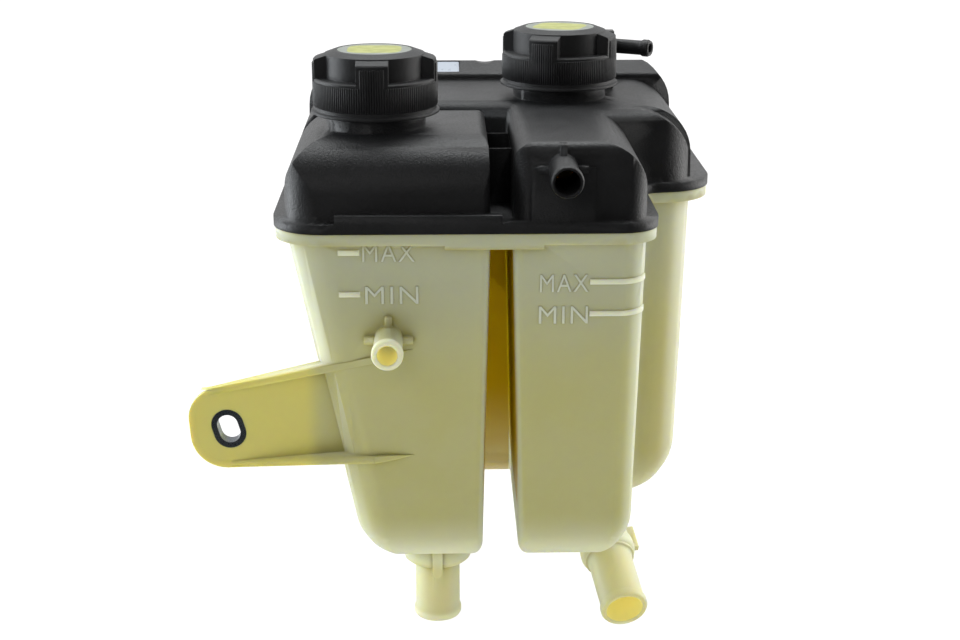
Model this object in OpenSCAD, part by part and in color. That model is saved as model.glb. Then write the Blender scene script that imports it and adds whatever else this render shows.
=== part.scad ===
// Coolant expansion tank with two separate chambers.
// A black upper shell is welded to a translucent lower shell along a flange. Each chamber
// has a threaded neck, closed by a screw cap that carries a pressure and vacuum valve.
// Millimetres, +Z up, +X to the right, +Y away from the side with the level marks.
// The origin is the centre of the slotted bush in the side bracket, on its rear seat.

/* [Chambers] */
// Width of the left chamber at the weld flange
left_chamber_w = 105; // [100:1:112]
// Depth of the left chamber, front to back
left_chamber_d = 99; // [94:1:104]
// Width of the right chamber's front leg at the weld flange
right_leg_w = 69; // [64:1:75]
// Gap between the two front legs
leg_gap = 11; // [9:1:15]
// Gap between the left chamber and the rear one
trench_w = 20; // [16:1:24]
// Step that the rear chamber makes to the right of the front leg
rear_step_w = 35; // [30:1:42]
// Distance from the front wall to that step
rear_step_y = 88; // [82:1:94]
// Depth of the rear chamber behind the gap
rear_chamber_d = 101; // [94:1:110]
// Height of the lower shell below the weld
lower_h = 185; // [170:1:205]
// Thickness of the moulded walls
wall = 3; // [2.4:0.1:3.6]
// Lean of the left side wall, inwards going down
side_lean = 11.5; // [8:0.5:13]
// Draft of the other walls
draft = 1.3; // [0.6:0.1:1.8]

/* [Upper shell] */
// Height of the chamber tops above the weld
top_h = 44.6; // [42:0.2:48]
// Rise of the rear deck's front edge over the chamber tops
deck_rise = 3.4; // [1.4:0.2:5.4]
// Rise of the rear deck's crest over the chamber tops
crest_rise = 11.4; // [8.4:0.2:15.4]
// Depth of the rear deck from its front edge to the back wall
deck_d = 25; // [22:1:30]
// Large radius along the outer top edges of the front humps
hump_r = 26; // [22:1:30]
// Radius along the right top edge of the rear hump
rear_hump_r = 26; // [22:1:29]
// Larger radius on the front end of the rear hump
rear_nose_r = 34; // [31:1:38]
// Length of that front end
rear_nose_l = 14; // [10:1:18]
// Run of the left hump's sloping shoulder, front to back
shoulder_run = 22; // [18:1:26]
// Drop of that shoulder
shoulder_drop = 12; // [9:1:15]
// Thickness of the two webs between the humps
web_t = 2; // [1.6:0.2:3]
// Height of those webs above the weld
web_h = 34; // [28:1:38]

/* [Weld flange] */
// Width of the flange outside the walls
flange_w = 6; // [5:0.5:8]
// Extra width of the flange along the rear step
flange_step_w = 5; // [3:0.5:6]
// Thickness of the flange on the upper shell
flange_t = 5; // [4:0.5:6]
// Thickness of the rim on the lower shell
rim_t = 6; // [5:0.5:8]
// Step of the rim behind the flange's edge
rim_set = 0.8; // [0.4:0.2:1.4]
// Height of the raised strip along the front of the flange
strip_h = 4.4; // [3:0.2:6]
// Length of the raised strip
strip_l = 84; // [70:1:90]
// Length of the deeper tab under the front rim
tab_l = 50; // [40:1:60]
// Depth of that tab below the rim
tab_h = 2.2; // [1.4:0.2:3]

/* [Necks] */
// Distance of the left neck from the left wall
left_neck_x = 46; // [43:1:49]
// Distance of the left neck from the front wall
left_neck_y = 53; // [50:1:56]
// Distance of the right neck from the front leg's inner wall
right_neck_x = 32; // [29:1:35]
// Distance of the right neck from the front wall
right_neck_y = 140; // [137:1:143]
// Bore of a neck
neck_bore = 40.8; // [39:0.2:42]
// Wall of a neck, over its thread
neck_t = 4.2; // [3.6:0.1:4.6]
// Height of a neck above the chamber top
neck_h = 21; // [20:0.5:21.5]
// Thickness of the collar under the cap, outside the thread
collar_t = 1.7; // [1.4:0.1:2.4]
// Height of that collar
collar_h = 6.3; // [5:0.1:6.8]

/* [Hose nipples] */
// Outside diameter of the front nipples
vent_od = 14.8; // [13:0.2:16]
// Height of their bead
vent_bead = 0.7; // [0.4:0.1:1.4]
// Bore of the upper front nipple
upper_vent_bore = 12; // [8:0.2:12.4]
// Bore of the lower front nipple
lower_vent_bore = 9.8; // [8:0.2:12.4]
// Length of the upper front nipple
upper_vent_l = 33; // [26:1:38]
// Length of the lower front nipple
lower_vent_l = 28; // [22:1:34]
// Outside diameter of the bottom outlets
outlet_od = 24.6; // [22:0.2:26]
// Height of their bead
outlet_bead = 0.8; // [0.5:0.1:1.6]
// Bore of the bottom outlets
outlet_bore = 20; // [17:0.2:21]
// Length of the left bottom outlet below the chamber
left_outlet_l = 46.5; // [42:0.5:54]
// Length of the right bottom outlet in front of its collar
right_outlet_l = 37; // [30:1:42]
// Dip of the right bottom outlet below the horizontal
outlet_dip = 23; // [18:1:30]
// Outside diameter of the overflow nipple
overflow_od = 8.4; // [7.6:0.2:9]
// Height of its bead
overflow_bead = 0.7; // [0.5:0.1:1]
// Bore of the overflow nipple
overflow_bore = 5; // [4:0.2:5.4]
// Length of the overflow nipple beside its post
overflow_l = 24; // [18:1:30]

/* [Bracket] */
// Distance of the bush from the left wall
bracket_reach = 33; // [28:1:38]
// Depth of the bush below the weld
bracket_drop = 110; // [104:1:116]
// Radius of the bracket's round end
bracket_end_r = 22; // [20:1:24]
// Depth of the bracket's channel
channel_d = 13; // [10:1:16]
// Thickness of the bracket's plate and walls
bracket_t = 3.6; // [3:0.2:4.4]
// Width of the slot in the bush
bush_slot_w = 11; // [9:0.5:12]
// End to end length of that slot
bush_slot_l = 15.5; // [13:0.5:17]
// Wall of the steel bush
bush_wall = 3; // [2:0.2:3.4]
// Length of the steel bush
bush_l = 8; // [7:0.5:10]
// Lean of the slot from upright
bush_lean = 16; // [0:1:25]

/* [Caps] */
// Width of the cap's band, from the neck's thread to the knurled face
cap_band_w = 7.4; // [6.9:0.1:8.4]
// How far the lip at the bottom edge stands out
cap_lip_w = 1.5; // [1.3:0.1:3]
// Height of the cap over the grip lugs
cap_h = 32.4; // [31:0.2:34]
// Height of the knurled band
knurl_h = 18.6; // [18:0.2:19.4]
// Depth of the grip lugs, from the knurled face to the drum
lug_depth = 6; // [5.5:0.1:6.2]
// Number of grip lugs
lug_count = 4; // [3:1:6]
// Width of a grip lug
lug_w = 16.5; // [13:0.5:19]
// Gap between the cap and the chamber top
cap_gap = 7.1; // [6.9:0.1:8]
// Width of the rim around the label on the cap
label_rim_w = 1.7; // [1.5:0.1:4]
// Turn of the left cap's first lug from the front
left_cap_turn = -1; // [-45:1:45]
// Turn of the right cap's first lug from the front
right_cap_turn = -21; // [-45:1:45]

/* [Valves] */
// Clearance of the valve plug in the neck's bore
plug_gap = 0.5; // [0.5:0.1:1.4]
// Depth of the plug below the neck's rim
plug_depth = 27; // [24:0.5:30]
// Section of the plug's seal ring
seal_d = 3.4; // [3:0.1:3.6]
// Clearance of the pressure valve's plate in the plug's bore
valve_gap = 2.1; // [1.1:0.1:3.1]
// Wire of the pressure spring
spring_wire = 1.8; // [1.4:0.1:2]
// Distance of the pressure spring's coil from the edge of that plate
spring_set = 3; // [2.5:0.1:4]
// Turns of the pressure spring
spring_turns = 5; // [4:1:6]
// Diameter of the vacuum valve's plate
vacuum_d = 11; // [9:0.5:12]
// Wire of the vacuum spring
vacuum_wire = 0.8; // [0.6:0.1:0.9]
// Turns of the vacuum spring
vacuum_turns = 4; // [3:1:5]

/* [Hidden] */
$fn = 72;

// Allowances shared by all pieces
cut = 1;
fit_gap = 0.3;
press = 0.05;
arc_step = 9;

// Walls of the chambers, from the middle of the gap between the legs and the front wall
left_x = -leg_gap / 2 - left_chamber_w;
left_inner_x = -leg_gap / 2;
right_inner_x = leg_gap / 2;
right_x = right_inner_x + right_leg_w;
rear_x = right_x + rear_step_w;
rear_front_y = left_chamber_d + trench_w;
rear_y = rear_front_y + rear_chamber_d;
seam_share = 0.4;
seam_x = right_inner_x + seam_share * right_leg_w;
seam_lap = 4 * wall;
reach = rear_x - left_x + rear_y;

// Heights of the rear deck at its front edge and at its crest
deck_h = top_h + deck_rise;
crest_h = top_h + crest_rise;

// Corner radii, seen from above and from the side
front_corner_r = 20;
leg_corner_r = 14;
gap_corner_r = 6;
step_corner_r = 20;
rear_corner_r = 22;
bottom_r = 16;
gap_bottom_r = 11;
left_bottom_r = 26;
right_bottom_r = 25;
rear_bottom_r = 32;
corner_step = 22.5;
knee_r = 25;
brow_r = 30;
edge_r = 6;
gap_edge_r = 5;

// Seats of the pieces on the upper shell
deck_y = rear_y - deck_d;
web_front_y = 40;
web_set = 18;
web_rear_y = left_chamber_d - web_set;
left_neck = [left_x + left_neck_x, left_neck_y, top_h];
right_neck = [right_inner_x + right_neck_x, right_neck_y, top_h];
bush_at = [left_x - bracket_reach, channel_d + bush_l, -bracket_drop];

// Necks, from the bore outwards, and the caps' diameters over them
neck_gap = 0.6;
rim_step = 5;
neck_od = neck_bore + 2 * neck_t;
collar_od = neck_od + 2 * collar_t;
cap_od = neck_od + 2 * cap_band_w;
cap_lip_od = cap_od + 2 * cap_lip_w;
drum_od = cap_od - 2 * lug_depth;
cap_rim_r = drum_od / 2 - rim_step;
cap_label_d = 2 * (cap_rim_r - label_rim_w);

// Post and bore of the overflow nipple, with the post's corner just clear of the cap's lip
post_w = 9.4;
post_h = 33;
post_gap = 0.865;
post_side = (cap_lip_od / 2 + post_gap) / sqrt(2) + post_w / 2;
post_from_neck = [post_side, post_side];
overflow_turn = -30;
overflow_drop = 8.5;

// Upper front nipple, lower front nipple and outlets
upper_vent_share = 0.36;
upper_vent_x = right_inner_x + upper_vent_share * right_leg_w;
upper_vent_drop = 12.6;
upper_vent_z = top_h - upper_vent_drop;
lower_vent_share = 0.5;
lower_vent_z = -57;
bead_l = 5;
bead_set = 1.4;
rib_t = 3.4;
rib_out = 5.2;
rib_l = 4;
left_outlet_share = 0.73;
left_outlet_y = 40;
dome_d = 37;
dome_h = 13;
right_outlet_at = [right_x - 11, 46, -lower_h - 18.5];
right_outlet_turn = 9;
outlet_collar_od = 31;
outlet_collar_l = 13;
outlet_collar_r = 5;
outlet_root_l = 90;
outlet_root_t = 1.7;
gusset_l = 44;
gusset_h = 6;

// Pad around the upper front nipple
pad_w = 32;
pad_t = 0.8;
pad_left = 15.34;
pad_x = upper_vent_x - pad_left;

// Bracket: corner radii of its end, rise of its edges and run of its root
bracket_top_r = 16;
bracket_low_r = 19;
end_lean = 3;
bracket_top_rise = 15.5;
bracket_low_rise = 5;
root_run = 5;

// Level bars: height below the weld, start and width on each leg
bar_h = 2.6;
bar_t = 0.7;
max_z = -27;
min_z = -44;
left_max_z = -11;
left_min_z = -33;
bar_l = 26;
left_bar_l = 10;
left_bar_x = 28;

// Rear label and the dip in the rear crest
label_w = 46;
label_h = 14;
label_t = 0.3;
label_recess = 0.8;
label_rim = 1.2;
label_x = -42;
label_share = 0.42;
dip_r = 15;
dip_depth = 3.6;
dip_x = -3;

// Inside the cap
lip_t = 1.4;
skirt_t = 2.5;
thread_sleeve_t = 2.4;
cap_roof_t = 2.1;
drum_wall = 2.6;
label_sink = 0.6;
cone_rise = 4;
plug_head_t = 2;
rim_z = neck_h - cap_gap;
head_z = rim_z + fit_gap;
step_z = head_z + plug_head_t + fit_gap;
plug_foot_z = rim_z - plug_depth;
plug_wall = 5.3;
plug_od = neck_bore - 2 * plug_gap;
plug_bore = plug_od - 2 * plug_wall;
valve_d = plug_bore - 2 * valve_gap;
seat_lap = 3;
foot_t = 2;
foot_hole_d = valve_d - 2 * seat_lap;
seal_z = rim_z - 19;
seat_z = plug_foot_z + foot_t;
valve_t = 2;
seat_bead_t = 0.6;
boss_d = 9;
boss_h = 5;
stem_d = 3;
stem_hole_d = 4.8;
vacuum_t = 1.2;
clip_d = 7.8;
clip_t = 1;
vacuum_spring_l = 4;
vacuum_spring_d = 6.4;
spring_d = valve_d - 2 * spring_set;
spring_seat_t = 1.5;
spring_seat_lap = 2.4;
spring_seat_d = plug_bore + 2 * spring_seat_lap;
spring_hub_gap = 1.1;
spring_hub_d = spring_d - spring_wire - 2 * spring_hub_gap;
spring_hub_h = 3;
plate_z = seat_z + press + seat_bead_t;
coil_steps = 16;
wire_sides = 6;
vent_hole_d = 4;
vent_hole_set = 0.6;
vent_ring_d = plug_bore - vent_hole_d - 2 * vent_hole_set;

// Direction and unit helpers for outlines
function unit(v) = v / norm(v);

// Points of one rounded corner: q is [x, y, radius], p and s are the corners beside it.
function corner(p, q, s) =
    q.z <= 0 ? [[q.x, q.y]] :
    let (
        here = [q.x, q.y],
        u = unit([p.x, p.y] - here),
        v = unit([s.x, s.y] - here),
        half = acos(max(-1, min(1, u * v))) / 2,
        mid = here + unit(u + v) * q.z / sin(half),
        first = here + u * q.z / tan(half) - mid,
        last = here + v * q.z / tan(half) - mid,
        a = atan2(first.y, first.x),
        turn = (atan2(last.y, last.x) - a + 540) % 360 - 180,
        n = max(2, ceil(abs(turn) / arc_step))
    )
    [for (i = [0 : n]) mid + q.z * [cos(a + turn * i / n), sin(a + turn * i / n)]];

// Closed outline with rounded corners
function rounded(c) =
    [for (i = [0 : len(c) - 1]) each corner(c[(i + len(c) - 1) % len(c)], c[i], c[(i + 1) % len(c)])];

// Radius of an inner corner that follows an outer one at a distance
function inner(r, inset) = max(r - inset, 0);

// Upright prism over a plan outline
module plan(outline, z0, z1) {
    translate([0, 0, z0]) linear_extrude(z1 - z0) polygon(rounded(outline));
}

// Prism along Y over an outline seen from the front, given in X and Z
module front_view(outline, y0, y1) {
    translate([0, y1, 0]) rotate([90, 0, 0]) linear_extrude(y1 - y0) polygon(rounded(outline));
}

// Prism along X over an outline seen from the side, given in Y and Z
module side_view(outline, x0, x1) {
    translate([x0, 0, 0]) rotate([90, 0, 90]) linear_extrude(x1 - x0) polygon(rounded(outline));
}

// Cavities run past the weld face; outer blocks end on it.
function weld_end(inset) = inset > 0 ? cut : 0;

// Front view of a block below the weld, with a lean on each side wall
function lower_front(x0, x1, lean0, lean1, r0, r1, inset) =
    let (
        top = weld_end(inset),
        bottom = inset - lower_h,
        west = x0 + inset / cos(lean0),
        east = x1 - inset / cos(lean1)
    )
    [
        [west - tan(lean0) * top, top, 0],
        [west - tan(lean0) * bottom, bottom, inner(r0, inset)],
        [east + tan(lean1) * bottom, bottom, inner(r1, inset)],
        [east + tan(lean1) * top, top, 0]
    ];

// Front view of a block above the weld
function upper_front(x0, x1, lean0, lean1, r0, r1, height, inset) =
    let (
        base = -weld_end(inset),
        top = height - inset,
        west = x0 + inset,
        east = x1 - inset
    )
    [
        [west + tan(lean0) * base, base, 0],
        [west + tan(lean0) * top, top, inner(r0, inset)],
        [east - tan(lean1) * top, top, inner(r1, inset)],
        [east - tan(lean1) * base, base, 0]
    ];

// Rectangle seen from above, with its corners' radii from the front left one round
function box_plan(x0, x1, y0, y1, r, inset) =
    let (e = inset - press)
    [
        [x0 + e, y0 + e, inner(r[0], e)],
        [x1 - e, y0 + e, inner(r[1], e)],
        [x1 - e, y1 - e, inner(r[2], e)],
        [x0 + e, y1 - e, inner(r[3], e)]
    ];

// What the three outlines of a moulded block have in common
module block(above, front, side) {
    intersection() {
        plan(above, -reach, reach);
        front_view(front, -reach, reach);
        side_view(side, -reach, reach);
    }
}

// Rounds an upright corner down to its foot. The corner is seen along one diagonal after
// another, and each view has the lean and the foot radius that lie between its two walls'.
module round_corner(x, y, turn, r, leans, feet, inset) {
    translate([x, y, 0])
    intersection_for(a = [corner_step:corner_step:90 - corner_step])
        let (
            across = pow(cos(a), 2),
            lean = atan(tan(leans[0]) * cos(a) + tan(leans[1]) * sin(a)),
            foot = feet[0] * across + feet[1] * (1 - across)
        )
        rotate([0, 0, turn + a])
        front_view(lower_front(r * (cos(a) + sin(a) - 1), reach, lean, 0, foot, 0, inset), -reach, reach);
}

// Left chamber below the weld
module left_leg(inset) {
    intersection() {
        block(
            box_plan(left_x, left_inner_x, 0, left_chamber_d, [0, 0, gap_corner_r, 0], inset),
            lower_front(left_x, left_inner_x, side_lean, draft, left_bottom_r, gap_bottom_r, inset),
            lower_front(0, left_chamber_d, draft, draft, bottom_r, bottom_r, inset)
        );
        round_corner(left_x, 0, 0, front_corner_r, [side_lean, draft], [left_bottom_r, bottom_r], inset);
        round_corner(left_inner_x, 0, 90, gap_corner_r, [draft, draft], [bottom_r, gap_bottom_r], inset);
    }
}

// Right chamber below the weld: its front leg and the left and right parts of its rear
module right_leg(inset) {
    back_y = rear_front_y + seam_lap;
    intersection() {
        block(
            box_plan(right_inner_x, right_x, 0, back_y, [0, 0, 0, 0], inset),
            lower_front(right_inner_x, right_x, draft, draft, gap_bottom_r, right_bottom_r, inset),
            lower_front(0, back_y, draft, 0, bottom_r, 0, inset)
        );
        round_corner(right_inner_x, 0, 0, gap_corner_r, [draft, draft], [gap_bottom_r, bottom_r], inset);
        round_corner(right_x, 0, 90, leg_corner_r, [draft, draft], [bottom_r, right_bottom_r], inset);
    }
}

module rear_left(inset) {
    end_x = seam_x + seam_lap;
    intersection() {
        block(
            box_plan(left_x, end_x, rear_front_y, rear_y, [0, 0, 0, 0], inset),
            lower_front(left_x, end_x, side_lean, 0, left_bottom_r, 0, inset),
            lower_front(rear_front_y, rear_y, draft, draft, bottom_r, bottom_r, inset)
        );
        round_corner(left_x, rear_y, 270, rear_corner_r, [draft, side_lean], [bottom_r, left_bottom_r], inset);
    }
}

module rear_right(inset) {
    intersection() {
        block(
            box_plan(seam_x, rear_x, rear_step_y, rear_y, [0, 0, 0, 0], inset),
            lower_front(seam_x, rear_x, 0, draft, 0, rear_bottom_r, inset),
            lower_front(rear_step_y, rear_y, draft, draft, bottom_r, bottom_r, inset)
        );
        round_corner(rear_x, rear_step_y, 90, rear_corner_r, [draft, draft], [bottom_r, rear_bottom_r], inset);
        round_corner(rear_x, rear_y, 180, rear_corner_r, [draft, draft], [rear_bottom_r, bottom_r], inset);
    }
}

module lower_chambers(inset) {
    left_leg(inset);
    right_leg(inset);
    rear_left(inset);
    rear_right(inset);
}

// Outline of the weld flange, with the concave corner at the rear step
function flange_outline(set) =
    let (
        west = left_x - flange_w + set,
        south = set - flange_w,
        leg_east = right_x + flange_w - set,
        step = rear_step_y - flange_w + set,
        east = rear_x + flange_w + flange_step_w - set,
        north = rear_y + flange_w - set
    )
    [
        [west, south, front_corner_r + flange_w - set],
        [leg_east, south, leg_corner_r + flange_w - set],
        [leg_east, step, step_corner_r / 2 + set],
        [east, step + flange_w, rear_corner_r + flange_w - set],
        [east, north, rear_corner_r + flange_w - set],
        [west, north, rear_corner_r + flange_w - set]
    ];

// Side of a hose nipple that runs up from the origin: root, tube, bead with a land, tip
module nipple(od, rise, l) {
    rotate_extrude() polygon([
        [0, 0],
        [od / 2 + rise, 0],
        [od / 2, bead_l / 2],
        [od / 2, l - bead_l - rise],
        [od / 2 + rise, l - bead_l + rise],
        [od / 2 + rise, l - bead_set],
        [od / 2, l],
        [0, l]
    ]);
}

// Bore of a nipple that is l long, from a depth below its root, with a chamfered mouth
module nipple_bore(bore, l, depth) {
    mouth = bead_set / 2;
    translate([0, 0, -depth]) cylinder(h = l + depth + cut, d = bore);
    translate([0, 0, l - mouth]) cylinder(h = mouth + cut, r1 = bore / 2, r2 = bore / 2 + mouth + cut);
}

// The three locating ribs at a front nipple's root
module nipple_ribs(od) {
    for (a = [0, 90, 180])
        rotate([0, 0, a])
        translate([od / 4, -rib_t / 2, -rib_l])
        cube([od / 4 + rib_out, rib_t, 2 * rib_l]);
}

// Bracket outline seen from the front, round the bush, drawn in by an inset
function bracket_outline(inset) =
    let (
        x = bush_at.x,
        z = bush_at.z,
        west = x - bracket_end_r + inset,
        low = z - bracket_end_r + inset,
        high = z + bracket_end_r - inset,
        root_x = left_x + 2 * front_corner_r + root_run,
        run = root_x - x
    )
    [
        [west, high, inner(bracket_top_r, inset)],
        [west + end_lean, low, inner(bracket_low_r, inset)],
        [x, low, bracket_end_r],
        [root_x, low + run * tan(bracket_low_rise), 0],
        [root_x, high + run * tan(bracket_top_rise), 0],
        [x - bracket_end_r / 2, high, bracket_end_r]
    ];

// Slotted outline of the bush, grown by a margin, standing in the X-Z plane
module bush_outline(margin, y0, y1) {
    w = bush_slot_w + 2 * margin;
    reach_z = (bush_slot_l - bush_slot_w) / 2;
    translate([bush_at.x, y1, bush_at.z])
    rotate([90, -bush_lean, 0])
    linear_extrude(y1 - y0) {
        translate([-w / 2, -reach_z]) square([w, 2 * reach_z]);
        for (s = [-1, 1])
            translate([0, s * reach_z]) circle(d = w);
    }
}

module bracket() {
    back_y = channel_d + bracket_t;
    difference() {
        front_view(bracket_outline(0), 0, back_y);
        front_view(bracket_outline(bracket_t), -cut, channel_d);
    }
    bush_outline(bush_wall + bracket_t, channel_d, bush_at.y - fit_gap);
}

// Level bar on a leg: the leg's plan, grown and cut to a length and a height
module level_bar(x0, l, z, outline) {
    intersection() {
        plan(outline, z - bar_h / 2, z + bar_h / 2);
        translate([x0, -cut - bar_t, z - bar_h]) cube([l, leg_corner_r, 2 * bar_h]);
    }
}

// Inset that puts a plan outline outside the drafted wall at a height
function bar_inset(z) = -bar_t - tan(draft) * z + press;

// Places what follows on the axis of the right bottom outlet, from its collar outwards
module on_right_outlet() {
    translate(right_outlet_at)
    rotate([0, 0, right_outlet_turn])
    rotate([90 + outlet_dip, 0, 0])
    children();
}

// Places what follows on the left bottom outlet, pointing down from the chamber
module on_left_outlet() {
    translate([left_x + left_outlet_share * left_chamber_w, left_outlet_y, -lower_h])
    rotate([180, 0, 0])
    children();
}

// Places what follows on the front nipple of each shell, pointing to the front
module on_upper_vent() {
    translate([upper_vent_x, 0, upper_vent_z])
    rotate([90, 0, 0])
    children();
}

module on_lower_vent() {
    translate([left_x + lower_vent_share * left_chamber_w, -tan(draft) * lower_vent_z, lower_vent_z])
    rotate([90, 0, 0])
    children();
}

module lower_shell() {
    color("#d9dba0")
    translate(-bush_at)
    difference() {
        union() {
            lower_chambers(0);
            plan(flange_outline(rim_set), -rim_t, 0);
            translate([seam_x - tab_l - seam_lap, rim_set - flange_w, -rim_t - tab_h])
                cube([tab_l, flange_w + wall / 2, rim_t]);
            bracket();
            on_lower_vent() {
                translate([0, 0, -wall / 2]) nipple(vent_od, vent_bead, lower_vent_l + wall / 2);
                nipple_ribs(vent_od);
            }
            on_left_outlet() {
                translate([0, 0, -wall / 2]) rotate_extrude() polygon(rounded([
                    [0, 0, 0],
                    [dome_d / 2, 0, 0],
                    [dome_d / 2, dome_h / 2, dome_h / 3],
                    [outlet_od / 2, dome_h, dome_h / 4],
                    [outlet_od / 2, dome_h + wall, 0],
                    [0, dome_h + wall, 0]
                ]));
                nipple(outlet_od, outlet_bead, left_outlet_l);
                translate([0, dome_d / 2 - rib_t / 2, 0])
                    rotate([90, 0, 0])
                    linear_extrude(dome_d / 4)
                    polygon(rounded([
                        [-rib_t, 0, 0],
                        [rib_t, 0, 0],
                        [rib_t, dome_h + rib_l, rib_t - press],
                        [-rib_t, dome_h + rib_l, rib_t - press]
                    ]));
            }
            on_right_outlet() {
                nipple(outlet_od, outlet_bead, right_outlet_l);
                translate([0, 0, -outlet_root_l]) cylinder(h = outlet_root_l, d = outlet_od + 2 * outlet_root_t);
                translate([0, 0, -outlet_collar_l])
                    rotate_extrude()
                    polygon(rounded([
                        [0, 0, 0],
                        [outlet_collar_od / 2, 0, outlet_collar_r],
                        [outlet_collar_od / 2, outlet_collar_l, outlet_collar_r],
                        [0, outlet_collar_l, 0]
                    ]));
                translate([-rib_t, outlet_od / 4, -gusset_l])
                    cube([2 * rib_t, outlet_od / 4 + gusset_h, gusset_l - outlet_collar_l / 2]);
                translate([outlet_od / 4, -rib_t / 2, -gusset_l / 2])
                    cube([outlet_od / 4 + gusset_h, rib_t, gusset_l / 2 - outlet_collar_l / 2]);
            }
            for (z = [max_z, min_z])
                level_bar(right_x - bar_l - rib_t, bar_l + 2 * rib_t, z,
                    box_plan(right_inner_x, right_x, 0, rear_step_y, [0, leg_corner_r, 0, 0], bar_inset(z)));
            for (z = [left_max_z, left_min_z])
                level_bar(left_x + left_bar_x, left_bar_l, z,
                    box_plan(left_x, left_inner_x, 0, left_chamber_d, [0, 0, 0, 0], bar_inset(z)));
        }
        lower_chambers(wall);
        on_lower_vent() nipple_bore(lower_vent_bore, lower_vent_l, 2 * wall);
        on_left_outlet() nipple_bore(outlet_bore, left_outlet_l, 2 * wall);
        on_right_outlet() nipple_bore(outlet_bore, right_outlet_l, outlet_root_l);
        bush_outline(bush_wall, 0, bush_at.y + cut);
    }
}

// Left hump: the left chamber above the weld, with a sloping shoulder at the front
module left_hump(inset) {
    base = -weld_end(inset);
    slope = atan(shoulder_drop / shoulder_run);
    south = inset;
    north = left_chamber_d - inset;
    knee_z = top_h - shoulder_drop - inset * (1 - sin(slope)) / cos(slope);
    brow_y = shoulder_run + inset * (1 - cos(slope)) / sin(slope);
    block(
        box_plan(left_x, left_inner_x, 0, left_chamber_d,
            [front_corner_r, gap_corner_r, gap_corner_r, gap_corner_r], inset),
        upper_front(left_x, left_inner_x, draft, draft, hump_r, gap_edge_r, top_h, inset),
        [
            [south + tan(draft) * base, base, 0],
            [south + tan(draft) * knee_z, knee_z, inner(knee_r, inset)],
            [brow_y, top_h - inset, inner(brow_r, inset)],
            [north - tan(draft) * top_h, top_h - inset, inner(edge_r, inset)],
            [north - tan(draft) * base, base, 0]
        ]
    );
}

// Right hump, over the right front leg
module right_hump(inset) {
    back_y = rear_front_y + seam_lap;
    block(
        box_plan(right_inner_x, right_x, 0, back_y, [2 * gap_corner_r, leg_corner_r, 0, 0], inset),
        upper_front(right_inner_x, right_x, draft, draft, 2 * gap_edge_r, hump_r, top_h, inset),
        upper_front(0, back_y, draft, 0, edge_r, 0, top_h, inset)
    );
}

// Rear of the right chamber: left part, right part and the rounder nose in front of that
module rear_hump_left(inset) {
    end_x = seam_x + seam_lap;
    end_y = deck_y + seam_lap;
    block(
        box_plan(left_x, end_x, rear_front_y, end_y, [gap_corner_r, 0, 0, 0], inset),
        upper_front(left_x, end_x, draft, 0, hump_r, 0, top_h, inset),
        upper_front(rear_front_y, end_y, draft, 0, edge_r, 0, top_h, inset)
    );
}

module rear_hump_right(inset) {
    south = rear_step_y + rear_nose_l;
    end_y = deck_y + seam_lap;
    block(
        box_plan(seam_x, rear_x, south, end_y, [0, 0, 0, 0], inset),
        upper_front(seam_x, rear_x, 0, draft, 0, rear_hump_r, top_h, inset),
        upper_front(south, end_y, 0, 0, edge_r / 2, 0, top_h, inset)
    );
}

module rear_nose(inset) {
    end_y = rear_step_y + rear_nose_l + seam_lap;
    block(
        box_plan(seam_x, rear_x, rear_step_y, end_y, [0, rear_corner_r, 0, 0], inset),
        upper_front(seam_x, rear_x, 0, draft, 0, rear_nose_r, top_h, inset),
        upper_front(rear_step_y, end_y, draft, 0, edge_r, 0, top_h, inset)
    );
}

// Rear deck, which slopes up to a crest with a dip in it
module rear_deck(inset) {
    base = -weld_end(inset);
    difference() {
        block(
            box_plan(left_x, rear_x, deck_y, rear_y, [0, 0, rear_corner_r, rear_corner_r], inset),
            upper_front(left_x, rear_x, draft, draft, rear_hump_r, rear_hump_r, crest_h, inset),
            [
                [deck_y + inset, base, 0],
                [deck_y + inset, deck_h - inset, inner(edge_r / 2, inset)],
                [rear_y - inset - tan(draft) * crest_h, crest_h - inset, inner(edge_r, inset)],
                [rear_y - inset - tan(draft) * base, base, 0]
            ]
        );
        translate([dip_x, deck_y + deck_d / 3, crest_h - dip_depth + dip_r])
            rotate([-90, 0, 0])
            cylinder(h = deck_d, r = dip_r + inset);
    }
}

module upper_chambers(inset) {
    left_hump(inset);
    right_hump(inset);
    rear_hump_left(inset);
    rear_hump_right(inset);
    rear_nose(inset);
    rear_deck(inset);
}

// Neck above a chamber top, with the collar that shows under the cap
module neck() {
    translate([0, 0, -wall]) cylinder(h = neck_h + wall, d = neck_od);
    translate([0, 0, -wall]) cylinder(h = collar_h + wall, d = collar_od);
}

module neck_hole() {
    translate([0, 0, -2 * wall]) cylinder(h = neck_h + 2 * wall + cut, d = neck_bore);
}

// Places what follows on the overflow nipple, pointing away from its post
module on_overflow() {
    translate(right_neck + [post_from_neck.x, post_from_neck.y, post_h - overflow_drop])
    rotate([0, 90, overflow_turn])
    children();
}

// Places what follows on the sloping deck, at the middle of the rear label's recess
module on_deck() {
    rise = (crest_h - deck_h) / deck_d;
    run = label_share * deck_d;
    translate([label_x, deck_y + run, deck_h + rise * run])
    rotate([atan(rise), 0, 0])
    children();
}

// Flat plate with rounded corners, centred, on the X-Y plane
module rounded_plate(l, w, t, r) {
    linear_extrude(t) polygon(rounded([
        [-l / 2, -w / 2, r], [l / 2, -w / 2, r], [l / 2, w / 2, r], [-l / 2, w / 2, r]
    ]));
}

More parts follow.
